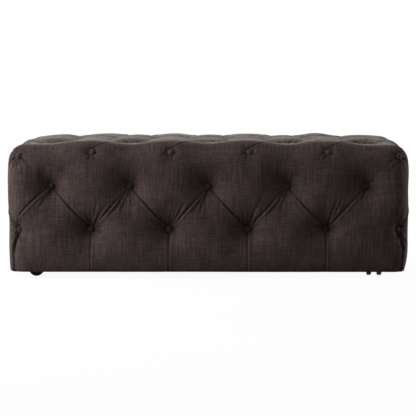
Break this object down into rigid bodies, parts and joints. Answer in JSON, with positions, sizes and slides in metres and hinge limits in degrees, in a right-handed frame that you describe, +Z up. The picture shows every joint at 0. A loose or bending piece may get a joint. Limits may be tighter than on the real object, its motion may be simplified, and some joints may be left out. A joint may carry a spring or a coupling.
{
  "type": "tufted ottoman",
  "caption": "Long rectangular ottoman, deeply button-tufted in dark woven fabric over its top and sides, on hidden swivel casters.",
  "frame": {"origin": "on the floor under the middle of the ottoman", "axes": "+X along the length, -Y towards the front, +Z up"},
  "size_m": [1.31, 0.79, 0.445],
  "materials": {
    "cover_fabric": "slubby plain-woven linen blend, dark brown-grey",
    "button_fabric": "same cloth pulled over a button mould",
    "foam": "open-cell upholstery foam",
    "twine": "waxed twine",
    "plywood": "bare plywood",
    "softwood": "bare sawn softwood",
    "dust_cloth": "black non-woven dust cloth",
    "steel": "zinc-plated steel",
    "caster_plastic": "black moulded nylon",
    "wheel_plastic": "black nylon, scuffed tread"
  },
  "bodies": {
    "ottoman": {"top_pad": "foam", "front_pad": "foam", "rear_pad": "foam", "left_pad": "foam", "right_pad": "foam", "cover": "cover_fabric", "top_buttons": "button_fabric", "edge_buttons": "button_fabric", "side_buttons": "button_fabric", "tufting_twines": "twine", "corner_button_nails": "steel", "top_deck": "plywood", "front_panel": "plywood", "rear_panel": "plywood", "left_panel": "plywood", "right_panel": "plywood", "front_left_post": "softwood", "front_right_post": "softwood", "rear_left_post": "softwood", "rear_right_post": "softwood", "front_bottom_rail": "softwood", "rear_bottom_rail": "softwood", "left_bottom_rail": "softwood", "right_bottom_rail": "softwood", "front_top_rail": "softwood", "rear_top_rail": "softwood", "left_top_rail": "softwood", "right_top_rail": "softwood", "left_deck_bearer": "softwood", "right_deck_bearer": "softwood", "deck_and_base_screws": "steel", "panel_screws": "steel", "base_board": "plywood", "dust_cover": "dust_cloth", "caster_screws": "steel", "hem_staples": "steel", "front_left_caster_plate": "steel", "front_right_caster_plate": "steel", "rear_left_caster_plate": "steel", "rear_right_caster_plate": "steel", "front_left_caster_stem": "steel", "front_right_caster_stem": "steel", "rear_left_caster_stem": "steel", "rear_right_caster_stem": "steel"},
    "front_left_swivel": {"front_left_caster_body": "caster_plastic", "front_left_caster_axle": "steel"},
    "front_left_roller_a": {"front_left_wheel_a": "wheel_plastic"},
    "front_left_roller_b": {"front_left_wheel_b": "wheel_plastic"},
    "front_right_swivel": {"front_right_caster_body": "caster_plastic", "front_right_caster_axle": "steel"},
    "front_right_roller_a": {"front_right_wheel_a": "wheel_plastic"},
    "front_right_roller_b": {"front_right_wheel_b": "wheel_plastic"},
    "rear_left_swivel": {"rear_left_caster_body": "caster_plastic", "rear_left_caster_axle": "steel"},
    "rear_left_roller_a": {"rear_left_wheel_a": "wheel_plastic"},
    "rear_left_roller_b": {"rear_left_wheel_b": "wheel_plastic"},
    "rear_right_swivel": {"rear_right_caster_body": "caster_plastic", "rear_right_caster_axle": "steel"},
    "rear_right_roller_a": {"rear_right_wheel_a": "wheel_plastic"},
    "rear_right_roller_b": {"rear_right_wheel_b": "wheel_plastic"}
  },
  "joints": [
    {"name": "front_left_swivel_turn", "type": "hinge", "parent": "ottoman", "child": "front_left_swivel", "pos_m": [-0.547, -0.287, 0.045], "axis": [0, 0, 1], "continuous": true},
    {"name": "front_left_roller_a_spin", "type": "hinge", "parent": "front_left_swivel", "child": "front_left_roller_a", "pos_m": [-0.568, -0.304, 0.025], "axis": [0, -1, 0], "continuous": true},
    {"name": "front_left_roller_b_spin", "type": "hinge", "parent": "front_left_swivel", "child": "front_left_roller_b", "pos_m": [-0.568, -0.27, 0.025], "axis": [0, -1, 0], "continuous": true},
    {"name": "front_right_swivel_turn", "type": "hinge", "parent": "ottoman", "child": "front_right_swivel", "pos_m": [0.547, -0.287, 0.045], "axis": [0, 0, 1], "continuous": true},
    {"name": "front_right_roller_a_spin", "type": "hinge", "parent": "front_right_swivel", "child": "front_right_roller_a", "pos_m": [0.53, -0.266, 0.025], "axis": [-1, 0, 0], "continuous": true},
    {"name": "front_right_roller_b_spin", "type": "hinge", "parent": "front_right_swivel", "child": "front_right_roller_b", "pos_m": [0.564, -0.266, 0.025], "axis": [-1, 0, 0], "continuous": true},
    {"name": "rear_left_swivel_turn", "type": "hinge", "parent": "ottoman", "child": "rear_left_swivel", "pos_m": [-0.547, 0.287, 0.045], "axis": [0, 0, 1], "continuous": true},
    {"name": "rear_left_roller_a_spin", "type": "hinge", "parent": "rear_left_swivel", "child": "rear_left_roller_a", "pos_m": [-0.564, 0.308, 0.025], "axis": [-1, 0, 0], "continuous": true},
    {"name": "rear_left_roller_b_spin", "type": "hinge", "parent": "rear_left_swivel", "child": "rear_left_roller_b", "pos_m": [-0.53, 0.308, 0.025], "axis": [-1, 0, 0], "continuous": true},
    {"name": "rear_right_swivel_turn", "type": "hinge", "parent": "ottoman", "child": "rear_right_swivel", "pos_m": [0.547, 0.287, 0.045], "axis": [0, 0, 1], "continuous": true},
    {"name": "rear_right_roller_a_spin", "type": "hinge", "parent": "rear_right_swivel", "child": "rear_right_roller_a", "pos_m": [0.526, 0.27, 0.025], "axis": [0, -1, 0], "continuous": true},
    {"name": "rear_right_roller_b_spin", "type": "hinge", "parent": "rear_right_swivel", "child": "rear_right_roller_b", "pos_m": [0.526, 0.304, 0.025], "axis": [0, -1, 0], "continuous": true}
  ]
}
